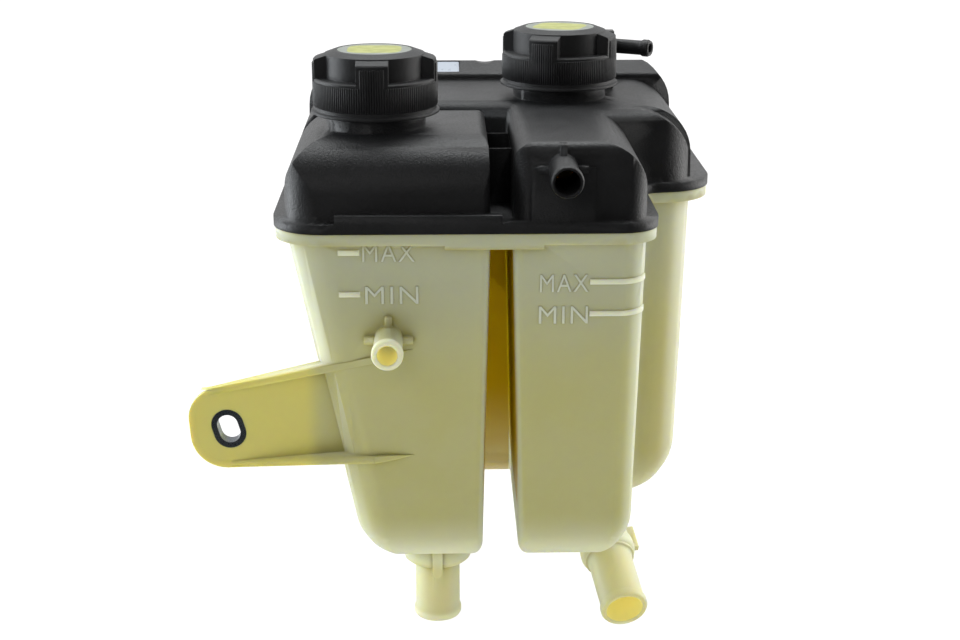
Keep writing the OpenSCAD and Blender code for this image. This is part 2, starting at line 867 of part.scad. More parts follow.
module upper_shell() {
    color("#26282a")
    translate(-bush_at)
    difference() {
        union() {
            upper_chambers(0);
            plan(flange_outline(0), 0, flange_t);
            translate([-strip_l, -flange_w, 0]) cube([strip_l, flange_w - rim_set, flange_t + strip_h]);
            for (y = [web_front_y, web_rear_y])
                translate([left_inner_x - wall / 2, y, 0]) cube([leg_gap + wall, web_t, web_h]);
            translate([pad_x, -pad_t, flange_t]) cube([pad_w, wall, top_h - flange_t - 2 * edge_r]);
            translate(left_neck) neck();
            translate(right_neck) neck();
            on_upper_vent() {
                translate([0, 0, -wall / 2]) nipple(vent_od, vent_bead, upper_vent_l + wall / 2);
                nipple_ribs(vent_od);
            }
            translate(right_neck + [post_from_neck.x - post_w / 2, post_from_neck.y - post_w / 2, -wall])
                cube([post_w, post_w, post_h + wall]);
            on_overflow() nipple(overflow_od, overflow_bead, overflow_l + post_w / 2);
        }
        upper_chambers(wall);
        translate(left_neck) neck_hole();
        translate(right_neck) neck_hole();
        on_upper_vent() nipple_bore(upper_vent_bore, upper_vent_l, 2 * wall);
        on_overflow() nipple_bore(overflow_bore, overflow_l + post_w / 2, overflow_bore / 4);
        translate(right_neck + [post_from_neck.x, post_from_neck.y, -2 * wall])
            cylinder(h = post_h - overflow_drop + 2 * wall, d = overflow_bore);
        on_deck() translate([0, 0, -label_recess])
            rounded_plate(label_w + label_rim, label_h + label_rim, 2 * label_recess, label_rim + label_recess);
    }
}

module bracket_bush() {
    color("#9fa3a6")
    translate(-bush_at)
    difference() {
        bush_outline(bush_wall, channel_d, bush_at.y);
        bush_outline(0, channel_d - cut, bush_at.y + cut);
    }
}

module rear_label() {
    color("#f2f2f0")
    translate(-bush_at)
    on_deck() translate([0, 0, -label_recess]) rounded_plate(label_w, label_h, label_t, label_rim);
}

// Pieces of a cap are drawn with its lip on the X-Y plane, then placed over a neck.
module over_left_neck() {
    translate(left_neck - bush_at + [0, 0, cap_gap]) children();
}

module over_right_neck() {
    translate(right_neck - bush_at + [0, 0, cap_gap]) children();
}

// Height of the cap's conical shoulder at a radius
function cone_z(r) = cap_h - cone_rise * (r - cap_rim_r) / (cap_od / 2 - cap_rim_r);

module cap(turn) {
    body_r = cap_od / 2;
    lip_r = cap_lip_od / 2;
    drum_r = drum_od / 2;
    bore_r = neck_od / 2 + neck_gap;
    chamfer = (lip_r - body_r) / 2;
    color("#2a2c2e")
    rotate([0, 0, turn])
    difference() {
        union() {
            rotate_extrude() polygon([
                [0, 0],
                [lip_r - chamfer, 0],
                [lip_r, chamfer / 2],
                [lip_r, lip_t],
                [body_r, lip_t + chamfer],
                [body_r, knurl_h - chamfer],
                [body_r - chamfer, knurl_h],
                [drum_r, knurl_h],
                [drum_r, cone_z(drum_r)],
                [cap_rim_r, cap_h],
                [cap_label_d / 2 + press, cap_h],
                [cap_label_d / 2 + press, cap_h - label_sink],
                [0, cap_h - label_sink]
            ]);
            intersection() {
                rotate_extrude() polygon([
                    [drum_r - chamfer, knurl_h - 2 * chamfer],
                    [body_r - press, knurl_h - 2 * chamfer],
                    [body_r - press, cone_z(body_r) - chamfer],
                    [body_r - chamfer, cone_z(body_r)],
                    [drum_r - chamfer, cone_z(drum_r) - chamfer / 4]
                ]);
                for (i = [0 : lug_count - 1])
                    rotate([0, 0, i * 360 / lug_count - 90])
                    translate([drum_r / 2, -lug_w / 2, 0])
                    cube([cap_od, lug_w, cap_h]);
            }
        }
        translate([0, 0, -cut]) cylinder(h = step_z + cut, r = bore_r);
        cylinder(h = cap_h - label_sink - cap_roof_t, r = drum_r - drum_wall);
        translate([0, 0, -cut]) rotate_extrude() translate([bore_r + thread_sleeve_t, 0])
            square([body_r - skirt_t - bore_r - thread_sleeve_t, rim_z + cut]);
    }
}

module cap_label() {
    color("#d9d24a")
    translate([0, 0, cap_h - label_sink])
    cylinder(h = label_sink - press, d = cap_label_d);
}

// Valve plug: hangs in the neck from its head, with a groove for the seal ring
module plug() {
    r = plug_od / 2;
    bore_r = plug_bore / 2;
    head_r = neck_od / 2;
    floor_r = neck_bore / 2 - fit_gap - seal_d - press;
    groove = seal_d / 2 + fit_gap;
    color("#3b3d3f")
    rotate_extrude() polygon([
        [foot_hole_d / 2, plug_foot_z],
        [r - foot_t, plug_foot_z],
        [r, plug_foot_z + foot_t],
        [r, seal_z - groove],
        [floor_r, seal_z - groove],
        [floor_r, seal_z + groove],
        [r, seal_z + groove],
        [r, head_z],
        [head_r, head_z],
        [head_r, head_z + plug_head_t],
        [bore_r, head_z + plug_head_t],
        [bore_r, seat_z],
        [foot_hole_d / 2, seat_z]
    ]);
}

module plug_seal() {
    color("#1b1c1d")
    translate([0, 0, seal_z])
    rotate_extrude() translate([(neck_bore - seal_d) / 2 - fit_gap, 0]) circle(d = seal_d, $fn = 32);
}

// Perforated disc that closes the plug and carries the pressure spring
module spring_seat() {
    seat_top = head_z + plug_head_t;
    color("#6f7376")
    difference() {
        union() {
            translate([0, 0, seat_top]) cylinder(h = spring_seat_t, d = spring_seat_d);
            translate([0, 0, seat_top - spring_hub_h]) cylinder(h = spring_hub_h, d = spring_hub_d);
        }
        translate([0, 0, seat_top - spring_hub_h - cut])
            cylinder(h = spring_hub_h + cut, d = spring_hub_d - 2 * foot_t);
        for (i = [0 : lug_count - 1])
            rotate([0, 0, i * 360 / lug_count])
            translate([vent_ring_d / 2, 0, seat_top - cut])
            cylinder(h = spring_seat_t + 2 * cut, d = vent_hole_d);
    }
}

// Pressure valve: a plate with a sealing bead and a boss that guides the vacuum valve
module pressure_valve() {
    bead_r = (foot_hole_d / 2 + valve_d / 2) / 2;
    color("#8a8d8f")
    difference() {
        union() {
            translate([0, 0, plate_z]) cylinder(h = valve_t, d = valve_d);
            translate([0, 0, plate_z + valve_t]) cylinder(h = boss_h, d = boss_d);
            translate([0, 0, seat_z + press]) cylinder(h = seat_bead_t, r = bead_r + seat_bead_t);
        }
        translate([0, 0, seat_z]) cylinder(h = seat_bead_t + press, r = bead_r - seat_bead_t);
        translate([0, 0, seat_z]) cylinder(h = 2 * boss_h, d = stem_hole_d);
    }
}

// Vacuum valve: a small plate under the pressure valve, on a stem with a clip
module vacuum_valve() {
    clip_z = plate_z + valve_t + boss_h + vacuum_spring_l;
    color("#b8babc") {
        translate([0, 0, plate_z - press - vacuum_t]) cylinder(h = vacuum_t, d = vacuum_d);
        translate([0, 0, plate_z - press - vacuum_t / 2])
            cylinder(h = clip_z + clip_t - plate_z + press + vacuum_t / 2, d = stem_d);
        translate([0, 0, clip_z]) cylinder(h = clip_t, d = clip_d);
    }
}

// Round wire coiled about the Z axis between two heights
module coil(d, wire, z0, z1, turns) {
    steps = turns * coil_steps;
    rise = z1 - z0 - wire;
    color("#c4c6c8")
    polyhedron(
        points = [
            for (k = [0 : steps], j = [0 : wire_sides - 1])
                let (
                    a = 360 * k / coil_steps,
                    b = 360 * j / wire_sides,
                    r = d / 2 + wire / 2 * cos(b)
                )
                [r * cos(a), r * sin(a), z0 + wire / 2 + rise * k / steps + wire / 2 * sin(b)]
        ],
        faces = [
            [for (j = [0 : wire_sides - 1]) j],
            for (k = [0 : steps - 1], j = [0 : wire_sides - 1])
                let (n = (j + 1) % wire_sides)
                [
                    k * wire_sides + j,
                    (k + 1) * wire_sides + j,
                    (k + 1) * wire_sides + n,
                    k * wire_sides + n
                ],
            [for (j = [0 : wire_sides - 1]) (steps + 1) * wire_sides - 1 - j]
        ]
    );
}

module pressure_spring() {
    coil(spring_d, spring_wire, plate_z + valve_t, head_z + plug_head_t, spring_turns);
}

module vacuum_spring() {
    boss_top = plate_z + valve_t + boss_h;
    coil(vacuum_spring_d, vacuum_wire, boss_top, boss_top + vacuum_spring_l, vacuum_turns);
}

upper_shell();
lower_shell();
bracket_bush();
rear_label();
over_left_neck() cap(left_cap_turn);  // left_cap
over_left_neck() cap_label();  // left_cap_label
over_left_neck() plug();  // left_plug
over_left_neck() plug_seal();  // left_plug_seal
over_left_neck() spring_seat();  // left_spring_seat
over_left_neck() pressure_spring();  // left_pressure_spring
over_left_neck() pressure_valve();  // left_pressure_valve
over_left_neck() vacuum_valve();  // left_vacuum_valve
over_left_neck() vacuum_spring();  // left_vacuum_spring
over_right_neck() cap(right_cap_turn);  // right_cap
over_right_neck() cap_label();  // right_cap_label
over_right_neck() plug();  // right_plug
over_right_neck() plug_seal();  // right_plug_seal
over_right_neck() spring_seat();  // right_spring_seat
over_right_neck() pressure_spring();  // right_pressure_spring
over_right_neck() pressure_valve();  // right_pressure_valve
over_right_neck() vacuum_valve();  // right_vacuum_valve
over_right_neck() vacuum_spring();  // right_vacuum_spring
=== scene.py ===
from math import pi, radians, tan

import bmesh
import bpy
import numpy as np
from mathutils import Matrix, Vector


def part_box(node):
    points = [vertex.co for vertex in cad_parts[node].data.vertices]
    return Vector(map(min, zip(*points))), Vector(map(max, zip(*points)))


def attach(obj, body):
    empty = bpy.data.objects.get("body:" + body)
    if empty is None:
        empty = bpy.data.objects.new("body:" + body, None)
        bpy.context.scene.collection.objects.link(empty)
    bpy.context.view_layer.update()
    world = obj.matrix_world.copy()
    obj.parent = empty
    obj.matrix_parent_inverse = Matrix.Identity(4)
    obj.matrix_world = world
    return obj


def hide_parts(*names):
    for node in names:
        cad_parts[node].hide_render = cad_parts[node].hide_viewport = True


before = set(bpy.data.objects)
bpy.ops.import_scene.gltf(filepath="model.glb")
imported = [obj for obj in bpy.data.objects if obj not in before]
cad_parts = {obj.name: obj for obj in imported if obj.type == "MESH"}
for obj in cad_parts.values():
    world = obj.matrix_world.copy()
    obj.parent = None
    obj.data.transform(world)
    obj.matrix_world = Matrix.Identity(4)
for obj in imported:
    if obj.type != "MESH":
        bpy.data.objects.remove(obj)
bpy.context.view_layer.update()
MM = 0.001

# Where the tank's own zero lies: the middle of the gap between the two legs, the front wall and
# the weld. The bracket's bush, which holds the tank, is the frame's zero.
TANK = Vector((143.5, -21, 110)) * MM

# Lower shell: one moulding of natural polypropylene, with both legs, the rear chamber, the
# bracket and the outlets. The plastic is waxy and lets light through, so that thin walls look
# darker than the solid ribs, and it has yellowed a little.
WELD_SHARP = radians(38)
DOUBLE = 0.002 * MM
EVEN_WEIGHT = 90


def add_piece(name, mesh, finish, body):
    """Puts a mesh in the scene with its material and the body that it rides."""
    mesh.materials.clear()
    mesh.materials.append(finish)
    piece = bpy.data.objects.new(name, mesh)
    bpy.context.collection.objects.link(piece)
    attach(piece, body)
    return piece


def joined_copy(name):
    """Copy of a CAD node's mesh with its loose triangles joined."""
    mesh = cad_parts[name].data.copy()
    shape = bmesh.new()
    shape.from_mesh(mesh)
    bmesh.ops.remove_doubles(shape, verts=shape.verts, dist=DOUBLE)
    bmesh.ops.dissolve_degenerate(shape, edges=shape.edges, dist=DOUBLE)
    shape.to_mesh(mesh)
    shape.free()
    return mesh


def moulding(name, mesh, finish):
    """Puts a joined mesh in the place of its CAD node. Its curved walls are shaded smooth, and edges
    that turn by more than WELD_SHARP stay crisp."""
    mesh.shade_smooth()
    mesh.set_sharp_from_angle(angle=WELD_SHARP)
    piece = add_piece(f"{name}_moulding", mesh, finish, "tank")
    evener = piece.modifiers.new("even_normals", "WEIGHTED_NORMAL")
    evener.keep_sharp = True
    evener.weight = EVEN_WEIGHT
    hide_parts(name)


def new_group(name, inputs, outputs):
    """Empty shader node group with named sockets. An input is (name, default value)."""
    group = bpy.data.node_groups.new(name, "ShaderNodeTree")
    for label, value in inputs:
        kind = "NodeSocketColor" if isinstance(value, tuple) else "NodeSocketFloat"
        group.interface.new_socket(label, in_out="INPUT", socket_type=kind).default_value = value
    for label, kind in outputs:
        group.interface.new_socket(label, in_out="OUTPUT", socket_type=kind)
    return group, group.nodes.new("NodeGroupInput"), group.nodes.new("NodeGroupOutput")


def node(tree, kind, **settings):
    """Adds a node. A setting that names a socket fills it, any other sets the node's own field."""
    made = tree.nodes.new(kind)
    for key, value in settings.items():
        if hasattr(made, key):
            setattr(made, key, value)
        else:
            made.inputs[key.replace("_", " ")].default_value = value
    return made


def math_node(tree, operation, first, second=None):
    """Math node on two sockets or numbers; returns its output socket."""
    made = node(tree, "ShaderNodeMath", operation=operation)
    for place, value in enumerate((first, second)):
        if isinstance(value, (int, float)):
            made.inputs[place].default_value = value
        elif value is not None:
            tree.links.new(value, made.inputs[place])
    return made.outputs[0]


def span(tree, value, low, high, start=0.0, end=1.0):
    """Smooth step of a value between two limits; returns its output socket."""
    made = node(tree, "ShaderNodeMapRange", interpolation_type="SMOOTHSTEP")
    tree.links.new(value, made.inputs["Value"])
    for label, number in (("From Min", low), ("From Max", high), ("To Min", start), ("To Max", end)):
        made.inputs[label].default_value = number
    return made.outputs["Result"]


# A Mix node's colour sockets by number, because its number and vector sockets share their names.
MIX_FACTOR, MIX_FIRST, MIX_SECOND, MIX_RESULT = 0, 6, 7, 2


def blend(tree, factor, first, second):
    """Mix of two colours, each a socket or a tuple; returns the result's socket."""
    made = node(tree, "ShaderNodeMix", data_type="RGBA")
    for place, value in ((MIX_FACTOR, factor), (MIX_FIRST, first), (MIX_SECOND, second)):
        if isinstance(value, tuple):
            made.inputs[place].default_value = (*value, 1)
        else:
            tree.links.new(value, made.inputs[place])
    return made.outputs[MIX_RESULT]


def moulded_surface():
    """Group for every moulded piece: cloudy patches, fine mould grain and soft edges."""
    group, source, result = new_group(
        "moulded_surface",
        [("Grain", 0.1), ("Grain Size", 1400.0), ("Edge Radius", 0.5 * MM)],
        [("Cloud", "NodeSocketFloat"), ("Speck", "NodeSocketFloat"), ("Normal", "NodeSocketVector")],
    )
    place = node(group, "ShaderNodeTexCoord")
    cloud = node(group, "ShaderNodeTexNoise", Scale=34.0, Detail=4.0, Roughness=0.6)
    speck = node(group, "ShaderNodeTexNoise", Detail=3.0, Roughness=0.65)
    edge = node(group, "ShaderNodeBevel", samples=4)
    bump = node(group, "ShaderNodeBump", Distance=0.3 * MM)
    link = group.links.new
    link(place.outputs["Object"], cloud.inputs["Vector"])
    link(place.outputs["Object"], speck.inputs["Vector"])
    link(source.outputs["Grain Size"], speck.inputs["Scale"])
    link(source.outputs["Edge Radius"], edge.inputs["Radius"])
    link(source.outputs["Grain"], bump.inputs["Strength"])
    link(speck.outputs["Fac"], bump.inputs["Height"])
    link(edge.outputs["Normal"], bump.inputs["Normal"])
    link(span(group, cloud.outputs["Fac"], 0.34, 0.66), result.inputs["Cloud"])
    link(span(group, speck.outputs["Fac"], 0.36, 0.64), result.inputs["Speck"])
    link(bump.outputs["Normal"], result.inputs["Normal"])
    return group


MOULDED = moulded_surface()


def new_material(name):
    """Material with an empty Principled shader; returns the material, its tree and the shader."""
    material = bpy.data.materials.new(name)
    material.use_nodes = True
    tree = material.node_tree
    return material, tree, tree.nodes["Principled BSDF"]


def use_surface(tree, shader, grain, size, edge):
    """Places the moulded surface group in a material and gives its normal to the shader."""
    surface = node(tree, "ShaderNodeGroup", node_tree=MOULDED)
    surface.inputs["Grain"].default_value = grain
    surface.inputs["Grain Size"].default_value = size
    surface.inputs["Edge Radius"].default_value = edge
    tree.links.new(surface.outputs["Normal"], shader.inputs["Normal"])
    return surface.outputs["Cloud"], surface.outputs["Speck"]


def tank_axes(tree):
    """Sockets of X, Y and Z from the tank's own zero, in mm."""
    place = node(tree, "ShaderNodeTexCoord")
    moved = node(tree, "ShaderNodeVectorMath", operation="SUBTRACT")
    moved.inputs[1].default_value = TANK
    scaled = node(tree, "ShaderNodeVectorMath", operation="SCALE", Scale=1 / MM)
    split = node(tree, "ShaderNodeSeparateXYZ")
    tree.links.new(place.outputs["Object"], moved.inputs[0])
    tree.links.new(moved.outputs["Vector"], scaled.inputs[0])
    tree.links.new(scaled.outputs["Vector"], split.inputs[0])
    return split.outputs["X"], split.outputs["Y"], split.outputs["Z"]


def within(tree, value, low, high):
    """One where a value lies between two limits, else zero."""
    made = node(tree, "ShaderNodeMath", operation="COMPARE")
    tree.links.new(value, made.inputs[0])
    made.inputs[1].default_value = (low + high) / 2
    made.inputs[2].default_value = (high - low) / 2
    return made.outputs[0]


def near_line(tree, point, along, radius):
    """One inside a radius round a line through a point, else zero: |(p - point) x along| < radius."""
    place = node(tree, "ShaderNodeTexCoord")
    arm = node(tree, "ShaderNodeVectorMath", operation="SUBTRACT")
    turn = node(tree, "ShaderNodeVectorMath", operation="CROSS_PRODUCT")
    length = node(tree, "ShaderNodeVectorMath", operation="LENGTH")
    tree.links.new(place.outputs["Object"], arm.inputs[0])
    arm.inputs[1].default_value = Vector(point) * MM + TANK
    tree.links.new(arm.outputs["Vector"], turn.inputs[0])
    turn.inputs[1].default_value = along
    tree.links.new(turn.outputs["Vector"], length.inputs[0])
    return math_node(tree, "LESS_THAN", length.outputs["Value"], radius * MM)


def both(tree, first, *others):
    """Product of masks."""
    for mask in others:
        first = math_node(tree, "MULTIPLY", first, mask)
    return first


def any_of(tree, first, *others):
    """Largest of masks."""
    for mask in others:
        first = math_node(tree, "MAXIMUM", first, mask)
    return first


# Places on the tank where the plastic's tint changes, in mm from its zero.
BLACK_SHADE = (-95, -10)
PALE_FOOT = (-187, -155)
REAR_CHAMBER = (84, 100)
BRACKET_SIDE = (-104, -92)
BRACKET_TOP = (-70, -66)
OUTLETS = (-197, -190)
OUTLET_TIPS = (-229, -226)
NIPPLE_TIPS = (-24, -22)
GAP_HALF = 9
GAP_MOUTH = (3, 9)
GAP_FOOT = (-186, -120)
BORES_TOP = -50
CREASE_REACH = 11 * MM

# Each bar of the level marks: its middle height and where it starts and ends across, in mm.
LEVEL_BARS = ((-11, -83, -72), (-33, -83, -72), (-27, 45, 76), (-44, 45, 76))
BAR_HALF = 1.45
BAR_DEPTH = 13

# The hoses' bores, where light comes through the wall from all sides, painted yellower with a faint
# glow: a point on the axis in mm, the axis and the radius in mm.
LEFT_OUTLET = (-33.85, 40.0)
BORES = (
    ((-58.0, -23.86, -57.0), (0, 1, 0), 5.1),
    ((*LEFT_OUTLET, -228.7), (0, 0, 1), 10.2),
    ((68.43, 14.91, -216.86), (0.144, -0.9092, -0.3907), 10.2),
)

SHADED_GREY = (0.50, 0.53, 0.44)
REAR_BROWN = (0.62, 0.50, 0.20)
BRACKET_BACKLIT_YELLOW = (0.74, 0.68, 0.20)
SIDE_LIT_GREY = (0.72, 0.76, 0.60)
CREASE_SHADE_OLIVE = (0.42, 0.37, 0.10)
GAP_SHADE_AMBER = (0.50, 0.31, 0.001)
BACKLIT_YELLOW = (0.70, 0.64, 0.22)


def level_bars(tree, across, back, up):
    """One on the raised bars of the level marks."""
    bars = [
        both(tree, within(tree, up, height - BAR_HALF, height + BAR_HALF), within(tree, across, start, end))
        for height, start, end in LEVEL_BARS
    ]
    return both(tree, any_of(tree, *bars), within(tree, back, -BAR_DEPTH, BAR_DEPTH))


def steep_sides(tree):
    """Half on walls that face left or right, fading out on the fronts."""
    face = node(tree, "ShaderNodeNewGeometry")
    turn = node(tree, "ShaderNodeSeparateXYZ")
    tree.links.new(face.outputs["Normal"], turn.inputs[0])
    return span(tree, math_node(tree, "ABSOLUTE", turn.outputs["X"]), 0.35, 0.9, 0.0, 0.5)


def natural_plastic(name, clear, haze, pale):
    """Waxy polypropylene. Painted shade greys it near the black shell, darkens creases to olive and turns
    the gap between the legs amber, where light runs far inside it. Painted light makes it yellower where
    light comes through the bracket, the pipes and the bores, which also glow, paler on the raised bars that
    catch it and a paler grey on the side walls. It is also paler at the foot and the tips, and browner at the
    rear chamber."""
    material, tree, shader = new_material(name)
    cloud, speck = use_surface(tree, shader, 0.06, 900.0, 0.9 * MM)
    across, back, up = tank_axes(tree)
    bracket = both(tree, span(tree, across, *BRACKET_SIDE, 1.0, 0.0), span(tree, up, *BRACKET_TOP, 1.0, 0.0))
    tips = any_of(tree, span(tree, up, *OUTLET_TIPS, 0.6, 0.0), span(tree, back, *NIPPLE_TIPS, 0.8, 0.0))
    # Painted shade: an occlusion node darkens creases and collars to olive, less so on the bracket.
    crease = node(tree, "ShaderNodeAmbientOcclusion", samples=6, Distance=CREASE_REACH)
    crease_shade = span(tree, crease.outputs["AO"], 0.45, 1.0, 0.75, 0.0)
    # Painted shade: the gap between the legs turns a deep amber and reflects less.
    gap = both(
        tree,
        within(tree, across, -GAP_HALF, GAP_HALF),
        span(tree, back, *GAP_MOUTH),
        span(tree, up, *GAP_FOOT, 0.5, 1.0),
    )
    bores = any_of(tree, *(near_line(tree, *bore) for bore in BORES))
    bores = both(tree, bores, math_node(tree, "LESS_THAN", up, BORES_TOP))
    tints = (
        (both(tree, cloud, 0.4), haze),
        (span(tree, up, *BLACK_SHADE, 0.0, 0.62), SHADED_GREY),
        (span(tree, up, *PALE_FOOT, 0.8, 0.0), pale),
        (span(tree, back, *REAR_CHAMBER, 0.0, 0.35), REAR_BROWN),
        # Painted light: the bracket's thin walls, lit through from both sides, are yellower.
        (both(tree, bracket, 0.85), BRACKET_BACKLIT_YELLOW),
        # Painted light: the thin outlet pipes, lit through from both sides, are yellower.
        (span(tree, up, *OUTLETS, 0.55, 0.0), BACKLIT_YELLOW),
        # Painted light: walls facing left or right are paler and greyer.
        (steep_sides(tree), SIDE_LIT_GREY),
        (tips, pale),
        (both(tree, crease_shade, span(tree, bracket, 0, 1, 1.0, 0.25)), CREASE_SHADE_OLIVE),
        (gap, GAP_SHADE_AMBER),
        # Painted light: the raised level bars, which catch the light, are paler.
        (both(tree, level_bars(tree, across, back, up), 0.8), pale),
        (bores, BACKLIT_YELLOW),
    )
    body = clear
    for mask, tint in tints:
        body = blend(tree, mask, body, tint)
    tree.links.new(body, shader.inputs["Base Color"])
    # Painted light: the bores glow faintly in yellow, as light comes through their walls.
    shader.inputs["Emission Color"].default_value = (*BACKLIT_YELLOW, 1)
    tree.links.new(both(tree, bores, 0.34), shader.inputs["Emission Strength"])
    tree.links.new(span(tree, speck, 0, 1, 0.34, 0.44), shader.inputs["Roughness"])
    shader.inputs["Subsurface Weight"].default_value = 1.0
    shader.inputs["Subsurface Radius"].default_value = (1.0, 0.86, 0.28)
    shader.inputs["Subsurface Scale"].default_value = 2.6 * MM
    tree.links.new(span(tree, gap, 0, 1, 0.4, 0.02), shader.inputs["Specular IOR Level"])
    return material


# The bracket's walls are deep at the leg and run out to nothing round the bush.
WALLS_FULL_X = -66.0
WALLS_GONE_X = -141.0
PLATE_Y = 12.9
BRACKET_LOW, BRACKET_HIGH = -134.0, -66.0


def mesh_points(mesh):
    """The places of a mesh's points as rows of X, Y and Z."""
    points = np.empty(len(mesh.vertices) * 3)
    mesh.vertices.foreach_get("co", points)
    return points.reshape(-1, 3)


def set_back_walls(mesh):
    """Moves points of the walls' front edges back onto a straight slope: y is at least PLATE_Y times
    the share of the way from WALLS_FULL_X to WALLS_GONE_X, and PLATE_Y past it."""
    points = mesh_points(mesh)
    x, y, z = ((points - np.array(TANK)) / MM).T
    slope = np.clip((WALLS_FULL_X - x) / (WALLS_FULL_X - WALLS_GONE_X), 0, 1) * PLATE_Y
    on_bracket = (x < WALLS_FULL_X) & (z > BRACKET_LOW) & (z < BRACKET_HIGH)
    points[:, 1] = np.where(on_bracket, np.maximum(y, slope) * MM + TANK.y, points[:, 1])
    mesh.vertices.foreach_set("co", points.ravel())


wall_plastic = natural_plastic("natural_plastic", (0.55, 0.53, 0.24), (0.57, 0.555, 0.30), (0.89, 0.91, 0.70))
lower_mesh = joined_copy("lower_shell")
set_back_walls(lower_mesh)
moulding("lower_shell", lower_mesh, wall_plastic)

# Where the bracket's two walls run out on the leg, each fades into the wall along a thin wedge.
# Its steps are the way along it in mm and the share of the wall's thickness and depth left there.
LEG_DRAFT = tan(radians(1.3))
WALL_END_X = -65.5
FADE_RUN = np.array([-1.0, 0.0, 8.0, 15.0, 20.0])
FADE_SHARE = np.array([1.0, 1.0, 0.72, 0.34, 0.06])[:, None]
FADE_SINK = 0.6
FADE_SHARP = radians(45)
BRACKET_WALLS = (("low", -125.18, -121.58, 5.0), ("top", -69.97, -66.37, 15.5))


def skin(name, rings, sharp, looped=False, capped=True):
    """Mesh over an array of rings, each an outline of the same number of points. Quads join each ring
    to the next, and the last to the first if looped, else one face closes each end if capped. Faces
    point outwards where the outline runs anticlockwise, seen along the way from ring to ring."""
    count, sides = rings.shape[:2]
    step = np.arange(sides)
    after = (step + 1) % sides
    first = np.arange(count if looped else count - 1)[:, None] * sides
    second = (first + sides) % (count * sides)
    quads = np.stack([first + step, second + step, second + after, first + after], -1)
    faces = quads.reshape(-1, 4).tolist()
    if capped and not looped:
        faces += [step.tolist(), (step[::-1] + (count - 1) * sides).tolist()]
    mesh = bpy.data.meshes.new(name)
    mesh.from_pydata(rings.reshape(-1, 3).tolist(), [], faces)
    mesh.shade_smooth()
    mesh.set_sharp_from_angle(angle=sharp)
    return mesh


def from_tank(x, y, z):
    """Points of X, Y and Z in mm from the tank's zero, as an array in the frame."""
    return np.stack(np.broadcast_arrays(x, y, z), -1) * MM + np.array(TANK)


def wall_fade(name, low, high, rise):
    """Wedge that goes on from a wall's end along its slope and sinks into the leg. The front stands
    at (1 - share) of the leg's surface, and the back FADE_SINK inside it."""
    run = FADE_RUN[:, None]
    half = (high - low) / 2 * FADE_SHARE * np.array([-1, 1, 1, -1])
    z = (low + high) / 2 + run * tan(radians(rise)) + half
    leg = -LEG_DRAFT * z
    y = np.where([True, True, False, False], leg * (1 - FADE_SHARE), leg + FADE_SINK)
    mesh = skin(name, from_tank(WALL_END_X + run, y, z), FADE_SHARP)
    add_piece(name, mesh, wall_plastic, "tank")


for side, low, high, rise in BRACKET_WALLS:
    wall_fade(f"bracket_fade_{side}", low, high, rise)

# The left outlet's dome: a soft bell that widens from the pipe into the foot of the leg, with a
# rib in front. The bell's line is radius and height, and every size is in mm.
BELL_SIDES = 72
BELL_LINE = np.array([
    (18.4, -186.5),
    (18.9, -191.0),
    (19.0, -193.6),
    (18.3, -195.6),
    (16.8, -197.0),
    (14.8, -198.0),
    (13.2, -198.6),
    (12.2, -199.2),
])
RIB_HALF = 2.8
RIB_TOP = -186.0
RIB_FOOT = -201.4
RIB_FRONT = 19.6
RIB_DEEP = 7.0
RIB_ARC = 17
RIB_SHARP = radians(40)


def outlet_bell(name):
    """Surface of revolution of BELL_LINE about the outlet's axis, open at both ends, which lie
    inside the leg and the pipe."""
    turn = np.arange(BELL_SIDES) * 2 * pi / BELL_SIDES
    radius, height = BELL_LINE.T[:, :, None]
    rings = from_tank(LEFT_OUTLET[0] + radius * np.cos(turn), LEFT_OUTLET[1] + radius * np.sin(turn), height)
    add_piece(name, skin(name, rings, pi, capped=False), wall_plastic, "tank")


def outlet_rib(name):
    """Flat bar with a round foot: an outline down one side, half a circle and up the other, carried
    back from RIB_FRONT by RIB_DEEP."""
    turn = np.linspace(pi, 2 * pi, RIB_ARC)
    x = np.concatenate([[-RIB_HALF], RIB_HALF * np.cos(turn), [RIB_HALF]])
    z = np.concatenate([[RIB_TOP], RIB_FOOT + RIB_HALF + RIB_HALF * np.sin(turn), [RIB_TOP]])
    y = np.array([[RIB_FRONT], [RIB_FRONT + RIB_DEEP]])
    mesh = skin(name, from_tank(LEFT_OUTLET[0] + x, y, z), RIB_SHARP)
    add_piece(name, mesh, wall_plastic, "tank")


outlet_bell("left_outlet_bell")
outlet_rib("left_outlet_rib")

# Level marks: MAX and MIN in plain raised capitals on the front of both legs, moulded with the
# wall. They catch the light, and that light is painted into a paler copy of the plastic.
LETTER_H = 9.4 * MM
LETTER_RAISE = 0.35 * MM
LETTER_THICK = 0.05
LETTER_GAP = 1.12
MARK_SUBSURFACE = 0.2
lit_mark_plastic = natural_plastic("lit_mark_plastic", (0.80, 0.82, 0.60), (0.84, 0.86, 0.66), (0.86, 0.88, 0.66))
lit_mark_plastic.node_tree.nodes["Principled BSDF"].inputs["Subsurface Weight"].default_value = MARK_SUBSURFACE


